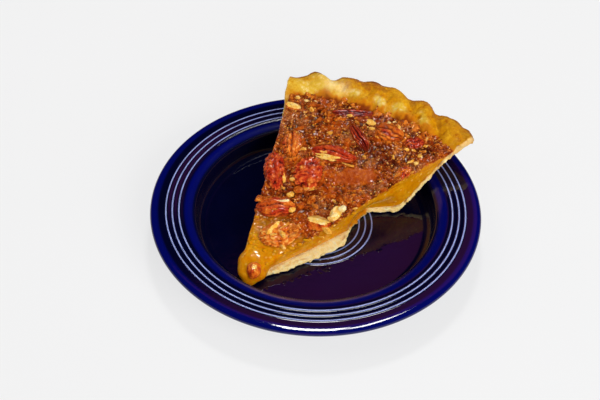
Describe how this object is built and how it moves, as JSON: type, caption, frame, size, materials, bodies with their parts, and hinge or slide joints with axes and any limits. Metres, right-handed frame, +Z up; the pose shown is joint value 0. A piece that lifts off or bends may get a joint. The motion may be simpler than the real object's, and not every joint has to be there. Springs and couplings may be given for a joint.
{
  "type": "pecan pie slice",
  "caption": "Wedge of pecan pie with an amber filling, a baked top set with nut halves and a crimped pastry rim, on a small round plate with raised rings.",
  "frame": {"origin": "centre of the plate's foot, in the plane it stands on", "axes": "+Z up; the slice's point looks along -Y and its pastry rim along +Y"},
  "size_m": [0.156, 0.156, 0.0349],
  "materials": {
    "glaze": "gloss",
    "pastry": "matte",
    "filling": "gloss",
    "nut_layer": "satin",
    "pecan": "satin"
  },
  "bodies": {
    "root": {"plate": "glaze", "crust": "pastry", "filling": "filling", "nut_layer": "nut_layer", "pecan_01": "pecan", "pecan_02": "pecan", "pecan_03": "pecan", "pecan_04": "pecan", "pecan_05": "pecan", "pecan_06": "pecan", "pecan_07": "pecan", "pecan_08": "pecan", "pecan_09": "pecan", "pecan_10": "pecan", "pecan_11": "pecan", "pecan_12": "pecan", "pecan_13": "pecan", "pecan_14": "pecan", "pecan_tip": "pecan"}
  },
  "joints": []
}
